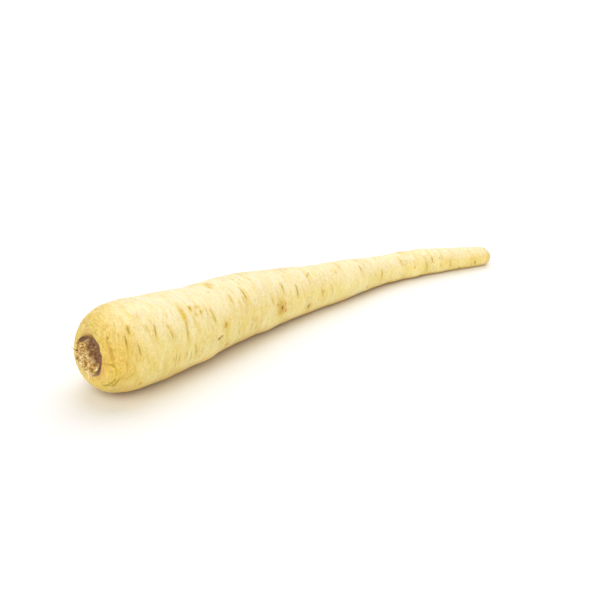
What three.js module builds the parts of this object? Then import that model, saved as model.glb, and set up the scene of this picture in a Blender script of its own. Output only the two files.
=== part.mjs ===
// A parsnip lying on its side: one long taproot, and the trimmed stub of its leaf stalks
// that sits in the hollow of the crown. Millimetres, +Z up, crown towards -X, tip towards +X.
import * as THREE from "three";

// Driving dimensions.
const ROOT_LENGTH = 296; // crown rim to tip, along the root
const CROWN_DOME = 27; // length over which the crown rounds out to the shoulder
const CROWN_FULLNESS = 2.3; // 2 is an ellipse; more gives a squarer shoulder
const TIP_ROUNDING = 4; // length of the blunt, rounded end
const HOLLOW_RADIUS = 10; // of the crown's hollow, where its wall meets the lip
const HOLLOW_DEPTH = 6;
const HOLLOW_DRAFT = 0.5; // how much narrower the hollow is at its floor
const HOLLOW_LIP = 1.4; // rounding between the hollow's wall and the crown
const FLOOR_ROUNDING = 1.5; // rounding between its floor and its wall
const STUB_GAP = 0.4; // between the stub and the hollow it grows in
const STUB_TOP_RADIUS = 7.2;
const STUB_TOP_ROUNDING = 1.6;
const STUB_PROUD = 0.6; // how far the stub's top stands out of the crown plane
const STUB_LEAN = [1.2, -0.5]; // how far its top leans across and up from the root's axis
const FOOT_DISTANCE = HOLLOW_DEPTH - STUB_GAP - FLOOR_ROUNDING; // where the stub's foot begins

// The root's radius at distances from the crown. The first is of the shoulder's cone before
// the crown rounds it off.
const TAPER = [
  [0, 26.5],
  [27, 24.6],
  [54, 22.8],
  [72, 21],
  [90, 20],
  [108, 18.9],
  [126, 17.1],
  [144, 15.4],
  [162, 13.5],
  [187, 11.6],
  [214, 9.1],
  [250, 7.9],
  [ROOT_LENGTH, 5.7],
];
// How far the root bows sideways, and how far its underside clears the surface.
const BOW = [
  [0, 1.5],
  [59, 6.5],
  [100, 13.5],
  [140, 19],
  [180, 19.5],
  [235, 19.5],
  [ROOT_LENGTH, 3],
];
const CLEARANCE = [
  [0, 0.7],
  [40, 0],
  [90, 0.9],
  [145, 0],
  [210, 1.1],
  [270, 0.4],
  [ROOT_LENGTH, 0.3],
];
// The root's weight beds its underside by this much, which leaves narrow flats to rest on.
const BEDDING = 0.5;

const AROUND = 36; // facets round the root
const ALONG = 60; // rings along its length
const DOME_RINGS = 9;
const TIP_RINGS = 4;

// A smooth value along the root, through [distance, value] stations.
function alongRoot(stations) {
  const curve = new THREE.CubicInterpolant(
    stations.map(([distance]) => distance),
    stations.map(([, value]) => value),
    1,
  );
  return (s) => curve.evaluate(THREE.MathUtils.clamp(s, 0, ROOT_LENGTH))[0];
}

const bodyRadius = alongRoot(TAPER);
const bow = alongRoot(BOW);
const clearance = alongRoot(CLEARANCE);

// The crown's dome: a superellipse from the hollow's rim out to the shoulder.
function domeRadius(s) {
  const inward = Math.max(0, 1 - s / CROWN_DOME);
  const fullness = (1 - inward ** CROWN_FULLNESS) ** (1 / CROWN_FULLNESS);
  const lip = HOLLOW_RADIUS + HOLLOW_LIP;
  return lip + (bodyRadius(s) - lip) * fullness;
}

// Points of an arc round [radius, distance], from one angle to another in degrees.
// 0 degrees points away from the axis, and 90 towards the tip.
function arc([radius, distance], size, from, to, steps = 3) {
  return Array.from({ length: steps + 1 }, (_, i) => {
    const angle = THREE.MathUtils.degToRad(from + ((to - from) * i) / steps);
    return [radius + size * Math.cos(angle), distance + size * Math.sin(angle)];
  });
}

// The root's outline as [radius, distance from the crown]: out along the hollow's floor and up
// its wall, over the lip, round the dome, along the body and round the tip.
function rootOutline() {
  const floor = HOLLOW_RADIUS - HOLLOW_DRAFT - FLOOR_ROUNDING;
  const outline = [
    [0, HOLLOW_DEPTH],
    ...arc([floor, HOLLOW_DEPTH - FLOOR_ROUNDING], FLOOR_ROUNDING, 90, 0),
    ...arc([HOLLOW_RADIUS + HOLLOW_LIP, HOLLOW_LIP], HOLLOW_LIP, 180, 270),
  ];
  for (let i = 1; i <= DOME_RINGS; i++) {
    const s = CROWN_DOME * (1 - Math.cos((i / DOME_RINGS) * (Math.PI / 2)));
    outline.push([domeRadius(s), s]);
  }
  const straight = ROOT_LENGTH - TIP_ROUNDING - CROWN_DOME;
  for (let i = 1; i <= ALONG; i++) {
    const s = CROWN_DOME + (straight * i) / ALONG;
    outline.push([bodyRadius(s), s]);
  }
  for (let i = 1; i < TIP_RINGS; i++) {
    const turn = (i / TIP_RINGS) * (Math.PI / 2);
    const s = ROOT_LENGTH - TIP_ROUNDING * (1 - Math.sin(turn));
    outline.push([bodyRadius(s) * Math.cos(turn), s]);
  }
  outline.push([0, ROOT_LENGTH]);
  return outline;
}

// The stub's outline: a low cone with a rounded top, and a foot that follows the hollow's floor.
function stubOutline() {
  const top = [STUB_TOP_RADIUS - STUB_TOP_ROUNDING, STUB_TOP_ROUNDING - STUB_PROUD];
  const foot = [HOLLOW_RADIUS - HOLLOW_DRAFT - STUB_GAP - FLOOR_ROUNDING, FOOT_DISTANCE];
  return [
    [0, -STUB_PROUD],
    ...arc(top, STUB_TOP_ROUNDING, -90, 0),
    ...arc(foot, FLOOR_ROUNDING, 0, 90),
    [0, HOLLOW_DEPTH - STUB_GAP],
  ];
}

// Turns an outline into a solid of revolution about X, with a facet and not a corner underneath.
function turned(outline) {
  const points = outline.map(([radius, s]) => new THREE.Vector2(radius, s));
  const geometry = new THREE.LatheGeometry(points, AROUND, Math.PI / AROUND);
  const toX = new THREE.Matrix4().makeBasis(
    new THREE.Vector3(0, 0, 1),
    new THREE.Vector3(1, 0, 0),
    new THREE.Vector3(0, 1, 0),
  );
  return geometry.applyMatrix4(toX);
}

// Moves each vertex with a function from its place to its new place.
function reshaped(geometry, move) {
  const position = geometry.getAttribute("position");
  const place = new THREE.Vector3();
  for (let i = 0; i < position.count; i++) {
    place.fromBufferAttribute(position, i);
    move(place);
    position.setXYZ(i, place.x, place.y, place.z);
  }
  geometry.computeVertexNormals();
  return geometry;
}

// The root isn't quite round: two broad lobes that turn slowly along its length.
function lobed(place) {
  const angle = Math.atan2(place.z, place.y);
  const turn = place.x / 60;
  const share = 1 + 0.012 * Math.cos(2 * angle + turn) + 0.008 * Math.cos(3 * angle - 1.3 * turn);
  place.y *= share;
  place.z *= share;
}

// Bends a straight piece along the root's bowed centre line, with its underside on the surface.
function bent(place) {
  const s = place.x;
  const step = 1;
  const height = (at) => bodyRadius(at) + clearance(at) - BEDDING;
  const slope = (value) => (value(s + step) - value(s - step)) / (2 * step);
  const forward = new THREE.Vector3(1, slope(bow), slope(height)).normalize();
  const across = new THREE.Vector3(-forward.y, forward.x, 0).normalize();
  const up = new THREE.Vector3().crossVectors(forward, across);
  const centre = new THREE.Vector3(s, bow(s), height(s));
  const { y, z } = place;
  place.copy(centre).addScaledVector(across, y).addScaledVector(up, z);
}

function root() {
  const geometry = reshaped(turned(rootOutline()), (place) => {
    lobed(place);
    bent(place);
    place.z = Math.max(place.z, 0);
  });
  const skin = new THREE.MeshStandardMaterial({ color: 0xf0dc9c, roughness: 0.6, metalness: 0 });
  const mesh = new THREE.Mesh(geometry, skin);
  mesh.name = "root";
  return mesh;
}

function leafStalkStub() {
  const geometry = reshaped(turned(stubOutline()), (place) => {
    lobed(place);
    const height = Math.max(0, 1 - place.x / FOOT_DISTANCE);
    place.y += STUB_LEAN[0] * height;
    place.z += STUB_LEAN[1] * height;
    bent(place);
  });
  const stalk = new THREE.MeshStandardMaterial({ color: 0x9a7448, roughness: 0.9, metalness: 0 });
  const mesh = new THREE.Mesh(geometry, stalk);
  mesh.name = "leaf_stalk_stub";
  return mesh;
}

// The origin is on the resting surface, below the middle of the whole parsnip.
const parsnip = new THREE.Group();
parsnip.add(root(), leafStalkStub());
const box = new THREE.Box3().setFromObject(parsnip);
const middle = box.getCenter(new THREE.Vector3());
parsnip.position.set(-middle.x, -middle.y, -box.min.z);

export default parsnip;
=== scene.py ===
import math
import random

import bpy
import numpy as np
from mathutils import Matrix, Vector, noise


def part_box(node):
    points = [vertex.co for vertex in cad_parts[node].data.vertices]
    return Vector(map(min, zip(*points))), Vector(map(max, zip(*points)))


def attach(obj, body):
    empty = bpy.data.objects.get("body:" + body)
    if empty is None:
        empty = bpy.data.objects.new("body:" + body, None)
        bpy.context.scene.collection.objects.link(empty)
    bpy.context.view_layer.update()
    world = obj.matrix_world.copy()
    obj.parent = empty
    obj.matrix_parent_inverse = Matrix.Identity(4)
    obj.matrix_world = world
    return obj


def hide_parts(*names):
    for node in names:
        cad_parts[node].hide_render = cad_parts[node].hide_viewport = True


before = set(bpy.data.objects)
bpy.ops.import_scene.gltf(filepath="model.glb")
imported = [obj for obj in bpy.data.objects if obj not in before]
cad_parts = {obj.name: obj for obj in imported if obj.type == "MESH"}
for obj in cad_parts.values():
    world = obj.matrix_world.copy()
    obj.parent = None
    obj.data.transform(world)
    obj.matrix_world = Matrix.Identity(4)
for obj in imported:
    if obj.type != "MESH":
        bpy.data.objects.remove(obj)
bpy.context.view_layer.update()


# ------------------------------------------------------------------------ the taproot's mesh
# A parsnip's taproot, grown as one piece: firm cream flesh under a thin, dry skin. It swells
# at the shoulder, bows a little to one side and tapers to a blunt tip. The mesh starts as the
# frame's own solid, is cut into finer rings and rounded, and is carved further down.

MM = 0.001  # one millimetre, in the frame's metres


def only(piece):
    """Selects one piece and nothing else, and makes it the active one."""
    bpy.ops.object.select_all(action="DESELECT")
    piece.select_set(True)
    bpy.context.view_layer.objects.active = piece


def copy_of_node(node, name):
    """A new object with its own mesh from a node of the frame, its loose triangles merged."""
    piece = bpy.data.objects.new(name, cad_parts[node].data.copy())
    bpy.context.collection.objects.link(piece)
    piece.data.materials.clear()
    only(piece)
    bpy.ops.object.mode_set(mode="EDIT")
    bpy.ops.mesh.select_all(action="SELECT")
    bpy.ops.mesh.remove_doubles(threshold=0.01 * MM)
    bpy.ops.mesh.tris_convert_to_quads(face_threshold=math.pi, shape_threshold=math.pi)
    bpy.ops.object.mode_set(mode="OBJECT")
    return piece


def select_edges(piece, wanted):
    """Selects the edges whose two ends pass a test, and leaves the piece in edit mode."""
    only(piece)
    bpy.ops.object.mode_set(mode="EDIT")
    bpy.ops.mesh.select_mode(type="EDGE")
    bpy.ops.mesh.select_all(action="DESELECT")
    bpy.ops.object.mode_set(mode="OBJECT")
    for edge in piece.data.edges:
        edge.select = wanted(*(piece.data.vertices[i].co for i in edge.vertices))
    bpy.ops.object.mode_set(mode="EDIT")


def round_off(piece, levels):
    """Rounds a piece with an applied Subdivision Surface."""
    only(piece)
    rounding = piece.modifiers.new("rounding", "SUBSURF")
    rounding.levels = levels
    rounding.render_levels = levels
    bpy.ops.object.modifier_apply(modifier=rounding.name)
    bpy.ops.object.shade_smooth()


def runs_lengthwise(start, end):
    run = end - start
    return abs(run.x) > 0.8 * run.length and run.length > 2 * MM


taproot = copy_of_node("root", "taproot")
select_edges(taproot, runs_lengthwise)
bpy.ops.mesh.subdivide(number_cuts=1)
bpy.ops.object.mode_set(mode="OBJECT")
round_off(taproot, 2)


# ---------------------------------------------------------------- places on the taproot's skin
# Marks on a root run round it or along it, so they are placed by how far they are from the
# crown and by their angle round the root: 0 is the top, 90 the side towards -Y, 180 below.

HOLLOW_RIM = 10.9 * MM  # radius inside which the skin is the crown's hollow
HOLLOW_REACH = 9 * MM  # the hollow ends within this distance of the crown
SHOULDER = 24.9 * MM  # radius of the shoulder, where the crown's dome meets the body


def vertex_places(piece):
    places = np.empty(len(piece.data.vertices) * 3)
    piece.data.vertices.foreach_get("co", places)
    return places.reshape(-1, 3)


def vertex_normals(piece):
    normals = np.empty(len(piece.data.vertices) * 3)
    piece.data.vertices.foreach_get("normal", normals)
    return normals.reshape(-1, 3)


def move_vertices(piece, moves):
    piece.data.vertices.foreach_set("co", (vertex_places(piece) + moves).reshape(-1))
    piece.data.update()


def store(piece, name, values):
    """Keeps a number or a vector for each vertex, for the piece's material to read."""
    kind, field = ("FLOAT_VECTOR", "vector") if values.ndim == 2 else ("FLOAT", "value")
    layer = piece.data.attributes.new(name, kind, "POINT")
    layer.data.foreach_set(field, values.astype(np.float32).reshape(-1))


def smooth_step(value, low, high):
    share = np.clip((value - low) / (high - low), 0, 1)
    return share * share * (3 - 2 * share)


crown_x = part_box("root")[0].x
tip_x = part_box("root")[1].x


def middle_line(places):
    """The y and the z of the line down the root's middle, as smooth curves of x."""
    stations = np.linspace(crown_x + 4 * MM, tip_x - 6 * MM, 72)
    middles = []
    for x in stations:
        ring = places[np.abs(places[:, 0] - x) < 3 * MM]
        middles.append((ring.min(0) + ring.max(0)) / 2)
    middles = np.array(middles)
    fit = np.polynomial.Polynomial.fit
    return fit(stations, middles[:, 1], 7), fit(stations, middles[:, 2], 7)


middle_y, middle_z = middle_line(vertex_places(taproot))


def on_middle(x):
    """Points of the middle line, and the way it runs there."""
    inside = np.clip(x, crown_x, tip_x)
    beyond = x - inside
    slope_y, slope_z = middle_y.deriv()(inside), middle_z.deriv()(inside)
    y, z = middle_y(inside) + slope_y * beyond, middle_z(inside) + slope_z * beyond
    way = np.stack([np.ones_like(x), slope_y, slope_z], 1)
    return np.stack([x, y, z], 1), way / np.linalg.norm(way, axis=1, keepdims=True)


def on_root(places):
    """Each point's distance from the crown, angle round the root and distance from its middle."""
    x = places[:, 0].copy()
    for _ in range(6):
        middle, way = on_middle(x)
        x += ((places - middle) * way).sum(1)
    away = places - on_middle(x)[0]
    return x - crown_x, np.arctan2(-away[:, 1], away[:, 2]), np.linalg.norm(away, axis=1)


along, angle, radius = on_root(vertex_places(taproot))

# Over the crown's dome the skin turns inwards, so there a place's distance runs back along the
# skin from the shoulder: it falls below 0 on the crown's face, and is least at the hollow.
turned_in = np.clip(SHOULDER - radius, 0, None) * (1 - smooth_step(along, 12 * MM, 24 * MM))
path = along - turned_in
rim_path = HOLLOW_RIM - SHOULDER
deep = smooth_step(HOLLOW_RIM - radius, -0.5 * MM, 0.5 * MM) * (along < HOLLOW_REACH)


# -------------------------------------------------------------------- the taproot's skin relief
# The skin isn't smooth. It swells and dips slowly, it has fine rings of wrinkles from drying,
# and it is raised in low knobs where side roots grew.

SLOW_SWELL = 0.35 * MM
SHORT_SWELL = 0.30 * MM
RING_WRINKLE = 0.14 * MM
FINE_WRINKLE = 0.08 * MM


def smooth_noise(points):
    return np.array([noise.noise(point) for point in points.tolist()])


def skin_noise(length, breadth, seed):
    """Smooth noise over the skin, in patches this long (along the root) and broad, in metres."""
    ring = radius / breadth
    return smooth_noise(
        np.stack([np.cos(angle) * ring + seed, np.sin(angle) * ring - seed, path / length + seed], 1)
    )


def turn_from(degrees):
    """How far round the root each point is from an angle, the short way, in radians."""
    return np.mod(angle - math.radians(degrees) + math.pi, 2 * math.pi) - math.pi


def blot(distance, degrees, length, breadth):
    """How far each point is from a mark's middle, where 1 is the mark's edge. Sizes in mm."""
    off = (path + 0.3 * wander - distance * MM) / (length * MM)
    return np.hypot(off, turn_from(degrees) * radius / (breadth * MM))


wander = 2.2 * MM * skin_noise(9 * MM, 9 * MM, 3.1)  # keeps marks and rings from running true
ring_noise = skin_noise(2.2 * MM, 9 * MM, 11.0)
fine_noise = skin_noise(1.3 * MM, 5 * MM, 17.0)
patches = smooth_step(skin_noise(22 * MM, 16 * MM, 23.0), -0.3, 0.3)

relief = SLOW_SWELL * skin_noise(26 * MM, 17 * MM, 5.0) * np.sqrt(radius / SHOULDER)
relief += SHORT_SWELL * skin_noise(9 * MM, 9 * MM, 8.0)
wrinkles = np.clip(1 - 4 * np.abs(ring_noise), 0, 1) * patches
relief -= RING_WRINKLE * wrinkles
relief += FINE_WRINKLE * fine_noise

# Knobs, and dents: distance in mm, angle, size and height in mm.
KNOBS = [
    (0, 300, 17, -1.5),
    (-2, 215, 9, 0.6),
    (69, 133, 6, 0.9),
    (121, 130, 7, 0.8),
    (142, 118, 5, 1.0),
    (80, 4, 5, 0.5),
    (228, 118, 4, 0.9),
    (243, 120, 4, 1.0),
    (250, 15, 6, 0.4),
    (262, 118, 4, 0.7),
]
for distance, place, size, height in KNOBS:
    relief += height * MM * np.exp(-blot(distance, place, size, size) ** 2)


# ------------------------------------------------------------------------ the taproot's creases
# Short creases run part of the way round the root, where its skin folded and cracked as it
# grew. Each has a lip on both sides, and one that runs crosswise has a stain round it, which
# reaches past its ends.

CREASE_DEPTH = 0.5 * MM  # of a crease of strength 1
DARK_STRENGTH = 0.5  # a crease of this strength or more is as dark as they get
LIP = 0.3  # the height of its lips, as a share of its depth
HALO = 3.4  # the breadth of the stain, in breadths of the crease
HALO_DARKNESS = 1.3


def stroke(start, end, breadth):
    """A line on the skin from one (distance, angle) to another, 1 along its middle, fading out,
    and how far each point is off it, in half breadths."""
    (first, first_angle), (last, last_angle) = start, end
    run_along = (last - first) * MM
    run_round = math.radians(last_angle - first_angle) * radius
    off_along = path + 0.35 * wander - first * MM
    off_round = turn_from((first_angle + last_angle) / 2) * radius + run_round / 2
    run = np.hypot(run_along, run_round)
    share = (off_along * run_along + off_round * run_round) / run**2
    off = (off_along * run_round - off_round * run_along) / run / (breadth * MM)
    return np.clip(1 - (2 * share - 1) ** 2, 0, 1) ** 0.6, off


# Where each starts and ends (distance in mm, angle), its half breadth in mm and its strength.
CREASES = [
    ((-3, 39), (-3, 45), 0.8, 0.5),
    ((-5, 50), (-7, 80), 1.4, 0.14),
    ((-15, 87), (-8, 86), 0.7, 1.0),
    ((-9, 86), (-5, 91), 0.7, 1.0),
    ((-5.5, 90), (-4, 102), 0.6, 0.9),
    ((-6, 135), (0, 107), 0.50, 0.70),
    ((-10, 149), (-4, 108), 0.45, 0.60),
    ((15, 40), (13.5, 52), 0.6, 0.5),
    ((10, 50), (8, 76), 0.9, 0.45),
    ((16, 60), (17, 84), 0.6, 0.4),
    ((25, 44), (24.5, 54), 0.5, 0.45),
    ((29, 46), (28, 68), 0.42, 0.5),
    ((37.5, 52), (38, 71), 0.42, 0.5),
    ((49, 52), (48, 88), 0.45, 0.5),
    ((55, 34), (55, 43), 0.6, 0.65),
    ((59.5, 36), (59, 42), 0.6, 0.55),
    ((57, 46), (57, 52), 0.6, 0.55),
    ((60.5, 44), (60.5, 52), 0.6, 0.55),
    ((54.5, 50), (55, 71), 0.35, 0.35),
    ((52, 86), (55, 113), 0.45, 0.45),
    ((65, 37), (63.5, 64), 0.35, 0.25),
    ((67.5, 46), (68.5, 70), 0.4, 0.5),
    ((69.2, 99), (74.2, 96.5), 0.9, 1.2),
    ((85.5, 35), (85.5, 50), 0.42, 0.5),
    ((96.5, 27), (96, 56), 0.45, 0.55),
    ((117, 56), (116.5, 80), 0.45, 0.35),
    ((130, 37), (129, 66), 0.55, 0.50),
    ((140.5, 47), (140.5, 78), 0.45, 0.45),
    ((157, 21), (152, 39), 0.45, 0.40),
    ((161, 66), (162, 101), 0.45, 0.40),
    ((169, 67), (170, 92), 0.40, 0.40),
    ((196, 30), (197, 64), 0.40, 0.40),
    ((214, 60), (213, 112), 0.40, 0.40),
    ((231, 20), (232, 62), 0.40, 0.35),
    ((249, 46), (251, 118), 0.45, 0.36),
    ((254.5, 46), (254.5, 78), 0.55, 0.40),
    ((267, 66), (268, 115), 0.45, 0.40),
    ((284, 92), (285, 126), 0.65, 0.45),
]
draw = random.Random(7)


def random_creases(clusters, distances, angles, strengths):
    """Short creases in loose clusters, somewhere between two distances and two angles."""
    for _ in range(clusters):
        distance, place = draw.uniform(*distances), draw.uniform(*angles)
        for _ in range(draw.randint(1, 5)):
            first = distance + draw.gauss(0, 3.5)
            start = place + draw.gauss(0, 12)
            span = draw.uniform(6, 30)
            ends = (first, start), (first + draw.gauss(0, 0.7), start + span)
            CREASES.append((*ends, draw.uniform(0.3, 0.5), draw.uniform(*strengths)))


# Faint ones are all over, stronger ones are below and on the back, and there are a few more
# faint ones on one side of the wide end.
random_creases(34, (4, 286), (0, 360), (0.10, 0.24))
random_creases(34, (4, 286), (110, 340), (0.20, 0.50))
random_creases(24, (12, 110), (72, 128), (0.12, 0.26))

creased = np.zeros(len(along))
stained = np.zeros(len(along))
for start, end, breadth, strength in CREASES:
    fade, off = stroke(start, end, breadth)
    groove = fade * np.exp(-(off**2))
    lips = fade * np.exp(-((np.abs(off) - 2) ** 2))
    relief += strength * CREASE_DEPTH * (LIP * lips - groove)
    creased = np.maximum(creased, groove * min(1, strength / DARK_STRENGTH))
    (first, first_angle), (last, last_angle) = start, end
    turn = last_angle - first_angle
    if abs(turn) > 5:
        before, after = first_angle - 0.09 * turn, last_angle + 0.3 * turn
        fade, off = stroke((first, before), (last, after), HALO * breadth)
        stained = np.maximum(stained, HALO_DARKNESS * strength * fade * np.exp(-(off**2)))
creased *= np.clip(0.8 + 1.2 * fine_noise, 0, 1)


# --------------------------------------------------------------- the taproot's stains and scars
# Yellow stains are soft and lie in the skin. The thin side roots that broke off when the root
# was dug up and washed have left small scars: shallow pits with a raised edge.

SCAR_DEPTH = 0.3 * MM

# Stains: distance in mm, angle, half length and half breadth in mm, strength.
STAINS = [
    (-6, 64, 2.6, 9, 1.0),
    (-9, 150, 3, 7, 0.6),
    (12, -8, 4, 7, 0.5),
    (27, 60, 2, 6, 0.4),
    (49, 46, 1.8, 7.0, 1.2),
    (57, 46, 3.2, 3.6, 0.4),
    (76, 80, 2.4, 3.0, 1.0),
    (80, 4, 2.6, 3.8, 0.9),
    (125, 90, 5.4, 5.6, 1.0),
    (151, 112, 4, 3, 0.6),
    (254.5, 62, 2, 3, 0.5),
    (285, 100, 5, 5, 0.5),
]
for _ in range(36):
    distance, place = draw.uniform(14, 200), draw.uniform(0, 360)
    STAINS.append((distance, place, draw.uniform(0.9, 1.9), draw.uniform(4, 9), draw.uniform(0.3, 0.7)))

# Scars: distance in mm, angle, half length and half breadth in mm, how brown.
SCARS = [
    (-3, 42, 0.9, 1.2, 1.1),
    (-10, 345, 4.0, 9.0, 0.4),
    (-6, 66, 1.6, 7.0, 0.6),
    (76, 80, 1.0, 1.8, 0.8),
    (74.5, 83, 0.5, 0.8, 0.6),
    (75, 19, 0.6, 0.7, 0.9),
    (81, -2, 0.6, 1.5, 0.6),
    (82.5, 4, 0.5, 1.0, 0.6),
    (79, 10, 0.6, 1.3, 0.7),
    (70.8, 98.4, 1.3, 0.8, 1.1),
    (73, 97, 1.2, 0.7, 1.0),
    (92, 1, 0.5, 0.9, 0.5),
    (98.5, 7, 0.5, 1.3, 0.7),
    (102, 12, 0.6, 0.9, 0.7),
    (121.5, 81, 0.9, 1.1, 0.9),
    (123.5, 98, 0.9, 1.0, 0.8),
    (125.5, 90, 4.2, 4.6, 0.55),
    (126.3, 91, 1.6, 2.1, 0.95),
    (129.5, 99, 0.8, 1.1, 0.9),
    (129.0, 84, 0.8, 0.9, 0.8),
    (151, 112, 1.8, 2.2, 0.7),
    (174, 30, 0.5, 0.8, 0.6),
    (176, 38, 0.6, 1.0, 0.8),
    (241, 85, 0.6, 0.9, 0.6),
    (260, 59, 0.5, 0.7, 0.7),
]
for _ in range(44):
    distance, place = draw.uniform(16, 284), draw.uniform(112, 345)
    brown = draw.uniform(0.4, 1.0)
    SCARS.append((distance, place, draw.uniform(0.5, 1.3), draw.uniform(0.7, 2.2), brown))
    if brown > 0.7:
        STAINS.append((distance, place, draw.uniform(2, 5), draw.uniform(3, 6), brown - 0.2))

for distance, place, length, breadth, strength in STAINS:
    stained = np.maximum(stained, strength * np.exp(-blot(distance, place, length, breadth) ** 2))
scarred = np.zeros(len(along))
for distance, place, length, breadth, brown in SCARS:
    out = blot(distance, place, length, breadth)
    pit = np.exp(-(out**2))
    edge = np.exp(-((out - 1.4) ** 2) / 0.3)
    relief += SCAR_DEPTH * brown * (0.7 * edge - pit)
    scarred = np.maximum(scarred, brown * pit)


# ------------------------------------------------------------- the taproot's crown and its hollow
# The crown is puckered: fine wrinkles slant over its dome. Its hollow has a ragged rim and a
# torn, crumbly wall, and it has silted up with dry tissue to a shallow dish. On the side that
# the withered stalks lean to, torn tissue covers the rim, and on the other the wall is bare.

PUCKER = 0.28 * MM
PUCKER_BREADTH = 1.5 * MM
PUCKER_LENGTH = 8 * MM
SLANT = 0.7  # how far along the root a pucker runs for each step round it
RAGGED = 0.7 * MM  # how far the rim's edge is up or down
CRUMB = 1.3 * MM
HOLLOW_ROUGHNESS = 0.35 * MM
SILTED_UP = 0.7  # the share of the hollow's depth that is filled
LEAN = np.array([0, 0.71, -0.70])  # the way that the withered stalks lean

dome = 1 - smooth_step(path, 2 * MM, 20 * MM)
around = angle * radius
across, down = path + SLANT * around, around - SLANT * path
slanting = smooth_noise(np.stack([across / PUCKER_BREADTH, down / PUCKER_LENGTH, along * 60], 1))
# They fade out below, where the angle round the root starts again.
off_seam = smooth_step(math.pi - np.abs(angle), 0.2, 0.9)
puckers = np.clip(1 - 4 * np.abs(slanting), 0, 1) * off_seam * dome * (1 - deep)
relief -= PUCKER * puckers
at_rim = np.exp(-(((path - rim_path) / (1.6 * MM)) ** 2))
relief += RAGGED * at_rim * skin_noise(3 * MM, 2.4 * MM, 31.0)

places = vertex_places(taproot)
crumbs = smooth_noise(places / CRUMB)
relief = relief * (1 - deep) + HOLLOW_ROUGHNESS * crumbs * deep
heart = np.array([crown_x, middle_y(crown_x), middle_z(crown_x)])
leaning = (places - heart) @ LEAN
tatters = (0.3 + skin_noise(2.6 * MM, 2.6 * MM, 41.0)) * 3 * MM
covered = HOLLOW_RIM + tatters * smooth_step(leaning, 3 * MM, 10 * MM)
torn = np.maximum(deep, smooth_step(covered - radius, -0.5 * MM, 0.5 * MM) * (path < 0))
# The bare wall is painted brown: partly the tissue's own colour, partly painted shade in the hollow.
bare = 1 - smooth_step(leaning, 0, 6 * MM)
silted = SILTED_UP * np.clip(along, 0, None) * deep


# ----------------------------------------------------------------------- the taproot's broken tip
# The thin end of the root snapped off when it was dug up. It broke along two slanting faces,
# which are rough and have dried a little.

TIP_LENGTH = 7 * MM  # how much of the end it reaches
TIP_ROUGHNESS = 0.5 * MM
UPPER_FACE, LOWER_FACE = 0.9, -0.35  # how far each face slants back for each step up

root_length = tip_x - crown_x
snapped = smooth_step(along, root_length - TIP_LENGTH, root_length - 0.5 * MM)
relief = relief * (1 - snapped) + TIP_ROUGHNESS * crumbs * snapped

moves = vertex_normals(taproot) * relief[:, None]
moves[:, 0] -= silted
height = places[:, 2] + moves[:, 2] - middle_z(tip_x)
slanted = np.maximum(UPPER_FACE * height, LOWER_FACE * height)
broken = tip_x - slanted + 0.4 * MM * crumbs - 0.2 * MM
moves[:, 0] = np.where(snapped > 0, np.minimum(moves[:, 0], broken - places[:, 0]), moves[:, 0])
# What rests on the surface stays on it.
low = places[:, 2] + moves[:, 2] < 0
moves[low, 2] = -places[low, 2]
move_vertices(taproot, moves)


# ------------------------------------------------------------------------ the taproot's finish
# The skin is dry and satin: cream, ochre towards the crown, olive in the creases and tan in
# the scars. On top it has a painted highlight, paler in streaks that run round it, and below it
# has painted shade, a deeper orange. Its flesh lets a little light through.

# What the material reads: first the place on the skin, and then how much of each thing is there.
ring_place = np.stack([np.cos(angle) * radius, np.sin(angle) * radius, path + 0.8 * wander], 1)
# Painted highlight: the skin is painted paler on top, where the light falls, and its ochre thinner
# there.
lit = smooth_step(np.cos(angle - math.radians(12)), 0.25, 0.95)
downward = -np.cos(angle)
ochre = (1 - smooth_step(path, -6 * MM, 36 * MM)) * (1 - 0.4 * lit)
store(taproot, "skin_place", ring_place)
store(taproot, "creased", np.clip(creased + 0.12 * wrinkles + 0.45 * puckers, 0, 1))
store(taproot, "painted_top_highlight", lit * smooth_step(path, 0, 20 * MM))
# Painted shade: deeper orange below, towards the floor.
store(taproot, "shaded", smooth_step(downward, 0.45, 0.98) * smooth_step(path, -5 * MM, 15 * MM))
store(taproot, "stained", stained)
store(taproot, "scarred", scarred)
# The ochre is painted thinner under the dome, as painted light against the shade there.
store(taproot, "crown", ochre * (1 - 0.4 * smooth_step(downward, 0.1, 0.8)))
store(taproot, "rim", at_rim * (0.3 + 0.7 * bare))
store(taproot, "torn", torn)
store(taproot, "bare", bare)
store(taproot, "snapped", snapped)


def linear(red, green, blue):
    """A colour as a paint chart gives it, 0 to 255, as the shader wants it."""
    share = [value / 255 for value in (red, green, blue)]
    return tuple(v / 12.92 if v <= 0.04045 else ((v + 0.055) / 1.055) ** 2.4 for v in share) + (1,)


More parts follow.
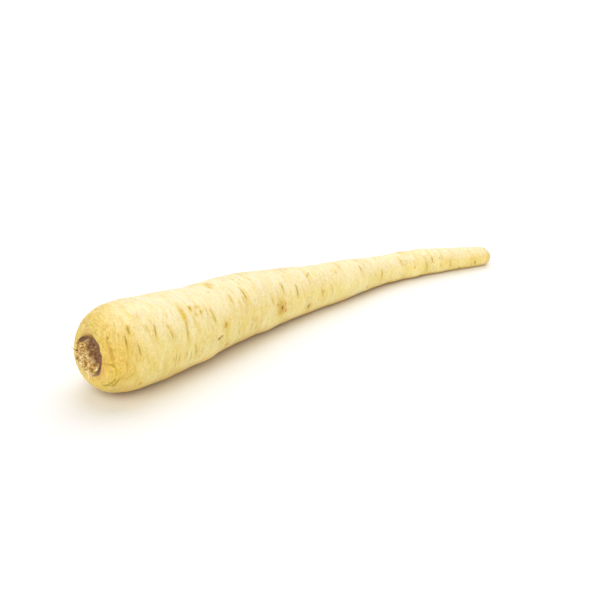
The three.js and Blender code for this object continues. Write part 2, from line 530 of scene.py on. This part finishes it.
class Nodes:
    """The nodes of a material or of a group, with short calls for the kinds used here."""

    def __init__(self, tree):
        self.tree = tree

    def node(self, kind, **settings):
        made = self.tree.nodes.new(kind)
        for name, value in settings.items():
            setattr(made, name, value)
        return made

    def feed(self, value, socket):
        """Links an output to a socket, or sets a plain value on it."""
        if isinstance(value, bpy.types.NodeSocket):
            self.tree.links.new(value, socket)
        else:
            socket.default_value = value

    def attribute(self, name, output="Fac"):
        return self.node("ShaderNodeAttribute", attribute_name=name).outputs[output]

    def stretched(self, place, *size):
        """A place divided by the size of a pattern, in metres."""
        mapping = self.node("ShaderNodeMapping")
        mapping.inputs["Scale"].default_value = [1 / value for value in size]
        self.feed(place, mapping.inputs["Vector"])
        return mapping.outputs["Vector"]

    def noise(self, place, detail=3, roughness=0.55):
        texture = self.node("ShaderNodeTexNoise")
        texture.inputs["Scale"].default_value = 1
        texture.inputs["Detail"].default_value = detail
        texture.inputs["Roughness"].default_value = roughness
        self.feed(place, texture.inputs["Vector"])
        return texture.outputs["Fac"]

    def ramp(self, value, *stops):
        """A number changed through (place, level or colour) stops."""
        ramp = self.node("ShaderNodeValToRGB")
        points = ramp.color_ramp.elements
        while len(points) < len(stops):
            points.new(0.5)
        for point, (place, level) in zip(points, stops):
            point.position = place
            point.color = level if isinstance(level, tuple) else (level, level, level, 1)
        self.feed(value, ramp.inputs["Fac"])
        return ramp.outputs["Color"]

    def sum(self, first, second, share=1.0):
        """The first, plus a share of the second."""
        sum_ = self.node("ShaderNodeMath", operation="MULTIPLY_ADD")
        for value, socket in zip((second, share, first), sum_.inputs):
            self.feed(value, socket)
        return sum_.outputs["Value"]

    def times(self, first, second):
        product = self.node("ShaderNodeMath", operation="MULTIPLY")
        for value, socket in zip((first, second), product.inputs):
            self.feed(value, socket)
        return product.outputs["Value"]

    def mix(self, share, under, over):
        blend = self.node("ShaderNodeMix", data_type="RGBA")
        for value, socket in zip((share, under, over), (blend.inputs[0], *blend.inputs[6:8])):
            self.feed(value, socket)
        return blend.outputs[2]

    def tint(self, colour, pattern, start, full, strength, paint):
        """Paint over a colour: none where a pattern is at its start, this much where it is full."""
        stops = sorted([(start, 0.0), (full, strength)])
        return self.mix(self.ramp(pattern, *stops), colour, linear(*paint))

    def bump(self, height, distance, below=None):
        bump = self.node("ShaderNodeBump")
        bump.inputs["Distance"].default_value = distance
        self.feed(height, bump.inputs["Height"])
        if below:
            self.feed(below, bump.inputs["Normal"])
        return bump.outputs["Normal"]


def new_finish(name):
    """A new material, its nodes and its shader."""
    material = bpy.data.materials.new(name)
    material.use_nodes = True
    return material, Nodes(material.node_tree), material.node_tree.nodes["Principled BSDF"]


def torn_tissue_group():
    """Dry tissue torn across: pale crumbs, brown between them, with dark specks. The brown
    between the crumbs is partly painted shade and their palest tops partly painted highlight;
    where the tissue lies low it is brown, partly its own colour and partly painted shade.
    """
    group = bpy.data.node_groups.new("torn_tissue", "ShaderNodeTree")
    group.interface.new_socket("Place", in_out="INPUT", socket_type="NodeSocketVector")
    group.interface.new_socket("Brown_And_Shade", in_out="INPUT", socket_type="NodeSocketFloat")
    group.interface.new_socket("Colour", in_out="OUTPUT", socket_type="NodeSocketColor")
    group.interface.new_socket("Height", in_out="OUTPUT", socket_type="NodeSocketFloat")
    torn = Nodes(group)
    taken = torn.node("NodeGroupInput")
    given = torn.node("NodeGroupOutput")
    place, brown_and_shade = taken.outputs["Place"], taken.outputs["Brown_And_Shade"]
    crumbs = torn.noise(torn.stretched(place, 2.6 * MM, 2.0 * MM, 2.0 * MM), detail=4, roughness=0.6)
    specks = torn.noise(torn.stretched(place, 1.8 * MM, 1.4 * MM, 1.4 * MM), detail=2)
    # Painted shade and highlight: brown where the crumbs lie low, as the pattern is also their height,
    # and near white on their tops; partly the tissue's own colour too.
    pale = torn.ramp(
        crumbs,
        (0.34, linear(176, 126, 62)),
        (0.44, linear(222, 184, 106)),
        (0.53, linear(242, 214, 146)),
        (0.66, linear(253, 240, 196)),
    )
    pale = torn.tint(pale, specks, 0.56, 0.65, 0.9, (142, 92, 38))
    brown = torn.ramp(crumbs, (0.36, linear(98, 64, 40)), (0.64, linear(154, 114, 80)))
    # Brown where it lies low: partly its own colour, partly painted shade.
    colour = torn.mix(brown_and_shade, pale, brown)
    torn.feed(colour, given.inputs["Colour"])
    torn.feed(crumbs, given.inputs["Height"])
    return group


torn_tissue = torn_tissue_group()


def cream_skin(skin, clouds, streaks, lines, grain):
    """Cream in clouds of yellow, with a fine grain, and a painted highlight: paler on top, in streaks.
    """
    clouded = skin.ramp(clouds, (0.38, 0.0), (0.66, 1.0))
    colour = skin.mix(clouded, linear(246, 234, 174), linear(240, 220, 132))
    paler = skin.times(skin.attribute("painted_top_highlight"), skin.ramp(streaks, (0.3, 1.0), (0.75, 0.45)))
    colour = skin.mix(paler, colour, linear(246, 236, 204))
    colour = skin.tint(colour, streaks, 0.48, 0.74, 0.5, (236, 214, 112))
    in_clouds = skin.ramp(clouds, (0.4, 0.3), (0.6, 1.0))
    lined = skin.times(skin.ramp(lines, (0.54, 0.0), (0.70, 0.3)), in_clouds)
    colour = skin.mix(lined, colour, linear(220, 196, 98))
    # Painted highlight: pale lines between the olive ones, standing in for light on the wrinkles.
    colour = skin.tint(colour, lines, 0.46, 0.34, 0.22, (252, 246, 208))
    colour = skin.tint(colour, grain, 0.46, 0.68, 0.35, (226, 202, 108))
    return skin.tint(colour, grain, 0.44, 0.28, 0.35, (252, 246, 212))


def ochre_skin(skin, clouds, grain):
    """Deeper and more mottled, as it is at the crown."""
    clouded = skin.ramp(clouds, (0.35, 0.0), (0.7, 1.0))
    colour = skin.mix(clouded, linear(237, 208, 100), linear(225, 186, 74))
    colour = skin.tint(colour, grain, 0.50, 0.68, 0.6, (206, 172, 66))
    return skin.tint(colour, grain, 0.46, 0.30, 0.6, (248, 226, 138))


def with_marks(skin, colour, clouds, streaks, dashes, flecks):
    """Olive dashes in clusters, fine flecks, olive creases, and scars that are tan round brown."""
    in_clusters = skin.ramp(clouds, (0.42, 0.2), (0.6, 1.0))
    clustered = skin.times(skin.ramp(dashes, (0.60, 0.0), (0.70, 0.6)), in_clusters)
    colour = skin.mix(clustered, colour, linear(204, 178, 80))
    colour = skin.tint(colour, flecks, 0.62, 0.8, 0.4, (200, 172, 84))
    worn = skin.sum(skin.attribute("creased"), streaks, 0.45)
    colour = skin.tint(colour, worn, 0.38, 0.98, 0.9, (180, 152, 52))
    speckled = skin.sum(skin.attribute("scarred"), flecks, 0.4)
    colour = skin.tint(colour, speckled, 0.35, 0.8, 0.75, (204, 152, 72))
    return skin.tint(colour, speckled, 0.85, 1.0, 0.8, (136, 96, 40))


def skin_finish():
    material, skin, shader = new_finish("parsnip_skin")
    place = skin.attribute("skin_place", "Vector")

    def pattern(breadth, length, detail, roughness):
        """Noise in patches this broad, round the root, and this long, along it, in mm."""
        size = breadth * MM, breadth * MM, length * MM
        return skin.noise(skin.stretched(place, *size), detail, roughness)

    clouds = pattern(16, 8, 5, 0.6)
    streaks = pattern(10, 2.2, 5, 0.6)
    dashes = pattern(4, 0.5, 2, 0.55)
    lines = pattern(11, 0.8, 3, 0.6)
    grain = pattern(1.3, 1, 3, 0.6)
    flecks = pattern(0.9, 0.5, 2, 0.55)

    colour = cream_skin(skin, clouds, streaks, lines, grain)
    at_crown = skin.times(skin.attribute("crown"), 0.95)
    colour = skin.mix(at_crown, colour, ochre_skin(skin, clouds, grain))
    # Painted shade: the underside is a deeper orange.
    colour = skin.mix(skin.times(skin.attribute("shaded"), 0.7), colour, linear(225, 166, 68))
    mottled = skin.times(skin.attribute("stained"), skin.ramp(grain, (0.3, 0.6), (0.6, 1.0)))
    colour = skin.mix(mottled, colour, linear(224, 194, 70))
    colour = with_marks(skin, colour, clouds, streaks, dashes, flecks)

    # The torn places: the broken tip, the hollow's rim and the hollow itself.
    colour = skin.mix(skin.times(skin.attribute("snapped"), 0.6), colour, linear(214, 168, 88))
    colour = skin.mix(skin.times(skin.attribute("rim"), 0.5), colour, linear(218, 168, 84))
    tissue = skin.node("ShaderNodeGroup", node_tree=torn_tissue)
    skin.feed(skin.node("ShaderNodeTexCoord").outputs["Object"], tissue.inputs["Place"])
    # The bare wall takes the brown: partly its own colour, partly painted shade.
    skin.feed(skin.attribute("bare"), tissue.inputs["Brown_And_Shade"])
    colour = skin.mix(skin.attribute("torn"), colour, tissue.outputs["Colour"])
    skin.feed(colour, shader.inputs["Base Color"])

    skin.feed(skin.ramp(streaks, (0.3, 0.42), (0.7, 0.58)), shader.inputs["Roughness"])
    shader.inputs["Specular IOR Level"].default_value = 0.4
    shader.inputs["Subsurface Weight"].default_value = 0.4
    shader.inputs["Subsurface Radius"].default_value = (1.0, 0.5, 0.15)
    shader.inputs["Subsurface Scale"].default_value = 4 * MM
    drying = skin.bump(lines, 0.16 * MM, skin.bump(streaks, 0.20 * MM))
    dented = skin.bump(skin.ramp(dashes, (0.55, 1.0), (0.68, 0.0)), 0.12 * MM, drying)
    grainy = skin.bump(grain, 0.12 * MM, dented)
    skin.feed(skin.bump(flecks, 0.07 * MM, grainy), shader.inputs["Normal"])
    return material


taproot.data.materials.append(skin_finish())
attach(taproot, "root")
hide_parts("root")


# ----------------------------------------------------------------- the stub of the leaf stalks
# The leaf stalks wither and are trimmed off short. What is left of them fills the middle of
# the crown's hollow: a corky lump of torn leaf bases, grown together with the crown. It is
# pale where it stands out and brown in the cleft round it, the brown partly its own colour and
# partly painted shade.

STUB_GRAIN = 0.24 * MM  # the size of the mesh's faces
LUMP = 2.8 * MM
STALK_CRUMB = 1.9 * MM
LEANS_BY = 2.6 * MM
ROTTED_DOWN = 3.0 * MM

stub = copy_of_node("leaf_stalk_stub", "leaf_stalk_stub_corky")
even = stub.modifiers.new("even", "REMESH")
even.mode = "VOXEL"
even.voxel_size = STUB_GRAIN
only(stub)
bpy.ops.object.modifier_apply(modifier=even.name)
places = vertex_places(stub)
distance = on_root(places)[0]
lumps = smooth_noise(places / LUMP)
cells = [noise.voronoi(point)[0] for point in (places / STALK_CRUMB).tolist()]
crumbs = np.clip(np.array([second - first for first, second, *_ in cells]) * 1.6, 0, 1)
free = 1 - smooth_step(distance, 1.0 * MM, 4.0 * MM)
bulge = (1.6 + 1.3 * lumps + 1.0 * (crumbs - 0.5)) * MM
# It leans to one side and has rotted down on the other.
standing = smooth_step((places - heart) @ LEAN + 1.5 * MM * lumps, -4.5 * MM, -1.0 * MM)
bulge -= 0.4 * MM * standing
leant = np.outer(free * standing * LEANS_BY, LEAN)
sunken = np.outer(free * (1 - standing) * ROTTED_DOWN, (1, 0, 0))
move_vertices(stub, vertex_normals(stub) * (free * bulge)[:, None] + leant + sunken)
# Painted shade: browner where it has rotted down into the cleft, at its foot, between its crumbs and in
# the dips between its lumps; the brown is partly the tissue's own colour.
brown_and_shade = np.maximum(1 - standing, 1 - free) + 0.45 * (0.5 - crumbs) - 0.3 * lumps
store(stub, "brown_and_shade", np.clip(brown_and_shade, 0, 1))
only(stub)
bpy.ops.object.shade_smooth()


def stalk_finish():
    material, stalk, shader = new_finish("withered_stalk")
    tissue = stalk.node("ShaderNodeGroup", node_tree=torn_tissue)
    stalk.feed(stalk.node("ShaderNodeTexCoord").outputs["Object"], tissue.inputs["Place"])
    stalk.feed(stalk.attribute("brown_and_shade"), tissue.inputs["Brown_And_Shade"])
    stalk.feed(tissue.outputs["Colour"], shader.inputs["Base Color"])
    shader.inputs["Roughness"].default_value = 0.85
    shader.inputs["Specular IOR Level"].default_value = 0.2
    stalk.feed(stalk.bump(tissue.outputs["Height"], 0.35 * MM), shader.inputs["Normal"])
    return material


withered = stalk_finish()
stub.data.materials.append(withered)
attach(stub, "root")
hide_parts("leaf_stalk_stub")


# ------------------------------------------------------------- the torn scales and the fibres
# Each trimmed leaf leaves a small torn scale on the stub, and the veins that ran up its stalk
# stay as stiff, dry fibres. One of each is modelled and copied, and each copy has grown from
# the stub where it stands.


def strand(name, sides, foot, tip, length, flatness, curl):
    """A tapering strand on the origin, up Z: a flattened one is a scale, a fine one a fibre."""
    bpy.ops.object.select_all(action="DESELECT")
    bpy.ops.mesh.primitive_cone_add(
        vertices=sides, radius1=foot, radius2=tip, depth=length, location=(0, 0, length / 2)
    )
    made = bpy.context.active_object
    made.name = name
    bpy.ops.object.transform_apply(location=True, rotation=False, scale=False)
    select_edges(made, lambda start, end: abs(end.z - start.z) > length / 2)
    bpy.ops.mesh.subdivide(number_cuts=4)
    bpy.ops.object.mode_set(mode="OBJECT")
    for vertex in made.data.vertices:
        height = vertex.co.z / length
        vertex.co.y = vertex.co.y * flatness + curl * length * height**2
        vertex.co.x *= 1 + 0.5 * math.sin(math.pi * height)
    bpy.ops.object.shade_smooth()
    return made


def planted(made, foot, way, spin, size):
    """A copy of a strand, with its own mesh, standing on a point and pointing a way."""
    copy = bpy.data.objects.new(made.name, made.data.copy())
    bpy.context.collection.objects.link(copy)
    pointed = way.to_track_quat("Z", "Y").to_matrix().to_4x4()
    stood = Matrix.Translation(foot) @ pointed @ Matrix.Rotation(spin, 4, "Z")
    copy.data.transform(stood @ Matrix.Diagonal((*size, 1)))
    return copy


def joined(copies, name, pattern):
    """Copies joined into one piece, without the one that they were made from."""
    bpy.data.objects.remove(pattern)
    only(copies[0])
    for copy in copies:
        copy.select_set(True)
    bpy.ops.object.join()
    copies[0].name = name
    return copies[0]


stub_places = vertex_places(stub)
stub_normals = vertex_normals(stub)
standing_top = np.flatnonzero((free > 0.9) & (standing > 0.35))


def scatter(made, count, lean, sizes):
    """Copies of a strand over the standing part of the stub, leaning at random from it."""
    copies = []
    for _ in range(count):
        spot = standing_top[draw.randrange(len(standing_top))]
        tilt = Vector([draw.gauss(0, lean) for _ in range(3)])
        way = (Vector(stub_normals[spot]) + tilt).normalized()
        foot = Vector(stub_places[spot]) - 0.3 * MM * way
        size = [draw.uniform(*sizes) for _ in range(3)]
        copy = planted(made, foot, way, draw.uniform(0, 2 * math.pi), size)
        store(copy, "brown_and_shade", np.full(len(copy.data.vertices), max(0, draw.gauss(0.15, 0.25))))
        copies.append(copy)
    return copies


scale = strand(
    "scale", sides=7, foot=0.55 * MM, tip=0.16 * MM, length=1.5 * MM, flatness=0.4, curl=0.35
)
torn_off = scatter(scale, count=64, lean=0.6, sizes=(0.6, 1.7))
scales = joined(torn_off, "torn_leaf_scales", scale)
scales.data.materials.append(withered)

fibre = strand(
    "fibre", sides=5, foot=0.10 * MM, tip=0.03 * MM, length=3.0 * MM, flatness=1.0, curl=0.25
)
fibres = scatter(fibre, count=30, lean=0.8, sizes=(0.5, 1.0))
# One long hair stands out past the crown on the side that the stub leans to.
hair_foot = Vector(stub_places[np.argmax((places[:, 1] + 0.3 * places[:, 2]) * free)])
HAIR_WAY = Vector((-0.85, 0.5, 0.3))
hair = planted(fibre, hair_foot, HAIR_WAY, spin=0.5, size=(2.2, 2.2, 1.5))
fibres = joined([*fibres, hair], "dry_fibres", fibre)


def fibre_finish():
    material, dry, shader = new_finish("dry_fibre")
    place = dry.node("ShaderNodeTexCoord").outputs["Object"]
    aged = dry.noise(dry.stretched(place, 1.2 * MM, 1.2 * MM, 1.2 * MM), detail=1)
    colour = dry.ramp(aged, (0.35, linear(70, 48, 30)), (0.65, linear(150, 110, 66)))
    dry.feed(colour, shader.inputs["Base Color"])
    shader.inputs["Roughness"].default_value = 0.8
    return material


fibres.data.materials.append(fibre_finish())
for piece in (scales, fibres):
    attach(piece, "root")


# --------------------------------------------------------------------- the floor and the lights
# A pale floor in a warm white room, with one very wide, cool light from above and behind, and a
# slightly weaker and warmer one from in front.

bpy.ops.object.select_all(action="DESELECT")
bpy.ops.mesh.primitive_plane_add(size=6, location=(0, 0, 0))
floor = bpy.context.active_object
floor.name = "floor"
paper, _, paper_shader = new_finish("white_paper")
paper_shader.inputs["Base Color"].default_value = (0.895, 0.912, 0.93, 1)
paper_shader.inputs["Roughness"].default_value = 0.9
paper_shader.inputs["Specular IOR Level"].default_value = 0.1
floor.data.materials.append(paper)


def wide_light(name, place, strength, spread, colour):
    """A light so large and far that it falls alike on everything, from one side."""
    lamp = bpy.data.lights.new(name, "SUN")
    lamp.energy = strength
    lamp.angle = math.radians(spread)
    lamp.color = colour
    holder = bpy.data.objects.new(name, lamp)
    bpy.context.collection.objects.link(holder)
    holder.rotation_euler = (-Vector(place)).to_track_quat("-Z", "Y").to_euler()


COOL_LIGHT = (0.97, 1.0, 1.17)
WARM_LIGHT = (1.0, 0.96, 0.88)
wide_light("overhead", (0.48, 0.32, 0.82), strength=1.34, spread=60, colour=COOL_LIGHT)
wide_light("front_card", (-0.61, -0.46, 0.64), strength=1.22, spread=50, colour=WARM_LIGHT)
room = bpy.data.worlds.new("room")
bpy.context.scene.world = room
room.use_nodes = True
room.node_tree.nodes["Background"].inputs["Color"].default_value = (1, 0.925, 0.81, 1)
room.node_tree.nodes["Background"].inputs["Strength"].default_value = 0.65
bpy.context.scene.view_settings.view_transform = "Standard"


# ------------------------------------------------------------------------------------ the camera
# It looks down on the parsnip from the crown's side, through a long lens.

AIM = Vector((18.4, 26.7, 0)) * MM
CAMERA_DISTANCE = 0.93
CAMERA_TURN = math.radians(39)
CAMERA_HEIGHT = math.radians(24)
away = Vector(
    (
        -math.sin(CAMERA_TURN) * math.cos(CAMERA_HEIGHT),
        -math.cos(CAMERA_TURN) * math.cos(CAMERA_HEIGHT),
        math.sin(CAMERA_HEIGHT),
    )
)
lens = bpy.data.cameras.new("camera")
lens.angle = math.radians(22)
lens.clip_start = 0.01
camera = bpy.data.objects.new("camera", lens)
bpy.context.collection.objects.link(camera)
camera.location = AIM + away * CAMERA_DISTANCE
camera.rotation_euler = (-away).to_track_quat("-Z", "Y").to_euler()
bpy.context.scene.camera = camera
